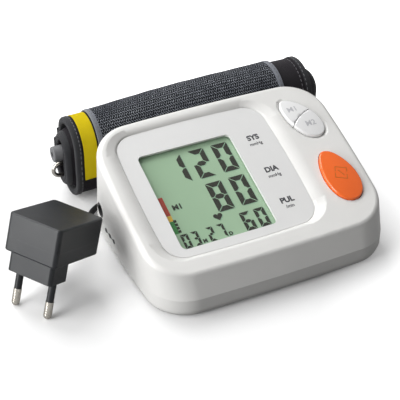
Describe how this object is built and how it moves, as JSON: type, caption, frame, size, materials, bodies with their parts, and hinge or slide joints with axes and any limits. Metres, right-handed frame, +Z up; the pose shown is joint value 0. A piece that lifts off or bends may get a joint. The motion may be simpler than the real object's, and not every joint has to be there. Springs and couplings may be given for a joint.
{
  "type": "upper arm blood pressure monitor",
  "caption": "Desk blood pressure monitor with sloping display face, push buttons, rolled arm cuff with slide ring, and a mains adapter on a coiled lead.",
  "frame": {"origin": "middle of the monitor's base, on the surface it stands on", "axes": "+Z up, +X to the user's right, +Y away from the user, towards the cuff behind the monitor"},
  "size_m": [0.2119, 0.1904, 0.0538],
  "materials": {
    "shell": "fine matt moulded surface",
    "panel": "satin white fascia",
    "lens": "clear, flat",
    "lcd": "green-grey display glass",
    "inner_plastic": "plain moulded",
    "strip": "elastomer contact strip",
    "grey_button": "glossy",
    "orange_button": "glossy",
    "black_plastic": "matt",
    "board": "solder mask",
    "steel": "zinc plated",
    "tube": "soft silicone",
    "cell": "plain printed jacket",
    "rubber": "soft feet",
    "nylon": "woven, slight sheen",
    "hook": "hook pile",
    "yellow": "woven tape",
    "binding": "stitched tape",
    "ring_steel": "bright",
    "grey_plastic": "moulded",
    "adapter": "fine texture",
    "pin_metal": "nickel plated",
    "transformer": "core and tape",
    "lead": "soft PVC"
  },
  "bodies": {
    "root": {"top_shell": "shell", "bottom_shell": "shell", "display_panel": "panel", "display_lens": "lens", "lcd_glass": "lcd", "lcd_frame": "inner_plastic", "contact_strip": "strip", "tact_switches": "black_plastic", "main_board": "board", "board_screws": "steel", "pressure_sensor": "black_plastic", "buzzer": "black_plastic", "pump_motor": "steel", "pump_head": "inner_plastic", "release_valve": "black_plastic", "air_tubes": "tube", "air_socket": "inner_plastic", "dc_socket": "black_plastic", "batteries": "cell", "battery_springs": "steel", "battery_contacts": "steel", "rubber_feet": "rubber", "case_screws": "steel", "cuff_wrap": "nylon", "cuff_inner": "nylon", "hook_panel": "hook", "index_band": "yellow", "edge_binding_left": "binding", "edge_binding_right": "binding", "ring_hem": "binding", "air_plug": "grey_plastic", "adapter_top_case": "adapter", "adapter_base_case": "adapter", "plug_pins": "pin_metal", "pin_sleeves": "adapter", "adapter_board": "board", "adapter_transformer": "transformer", "strain_relief": "lead", "dc_cord": "lead", "dc_cord_coil": "lead", "dc_cord_tail": "lead", "coil_tie": "lead", "dc_plug_grip": "lead", "dc_plug_barrel": "pin_metal"},
    "start_button": {"start_button": "orange_button"},
    "memory_button_1": {"memory_button_1": "grey_button"},
    "memory_button_2": {"memory_button_2": "grey_button"},
    "battery_door": {"battery_door": "shell"},
    "cuff_ring": {"cuff_ring": "ring_steel"}
  },
  "joints": [
    {"name": "start_button_press", "type": "slide", "parent": "root", "child": "start_button", "axis": [0, 0.3371, -0.9415], "range_m": [0, 0.001], "stiffness_N_per_m": 400},
    {"name": "memory_button_1_press", "type": "slide", "parent": "root", "child": "memory_button_1", "axis": [0, 0.3371, -0.9415], "range_m": [0, 0.001], "stiffness_N_per_m": 400},
    {"name": "memory_button_2_press", "type": "slide", "parent": "root", "child": "memory_button_2", "axis": [0, 0.3371, -0.9415], "range_m": [0, 0.001], "stiffness_N_per_m": 400},
    {"name": "battery_door_slide", "type": "slide", "parent": "root", "child": "battery_door", "axis": [0, -1, 0], "range_m": [0, 0.011]},
    {"name": "cuff_ring_swing", "type": "hinge", "parent": "root", "child": "cuff_ring", "pos_m": [0, 0.072, 0.0199], "axis": [1, 0, 0], "range_deg": [-15, 25]}
  ]
}
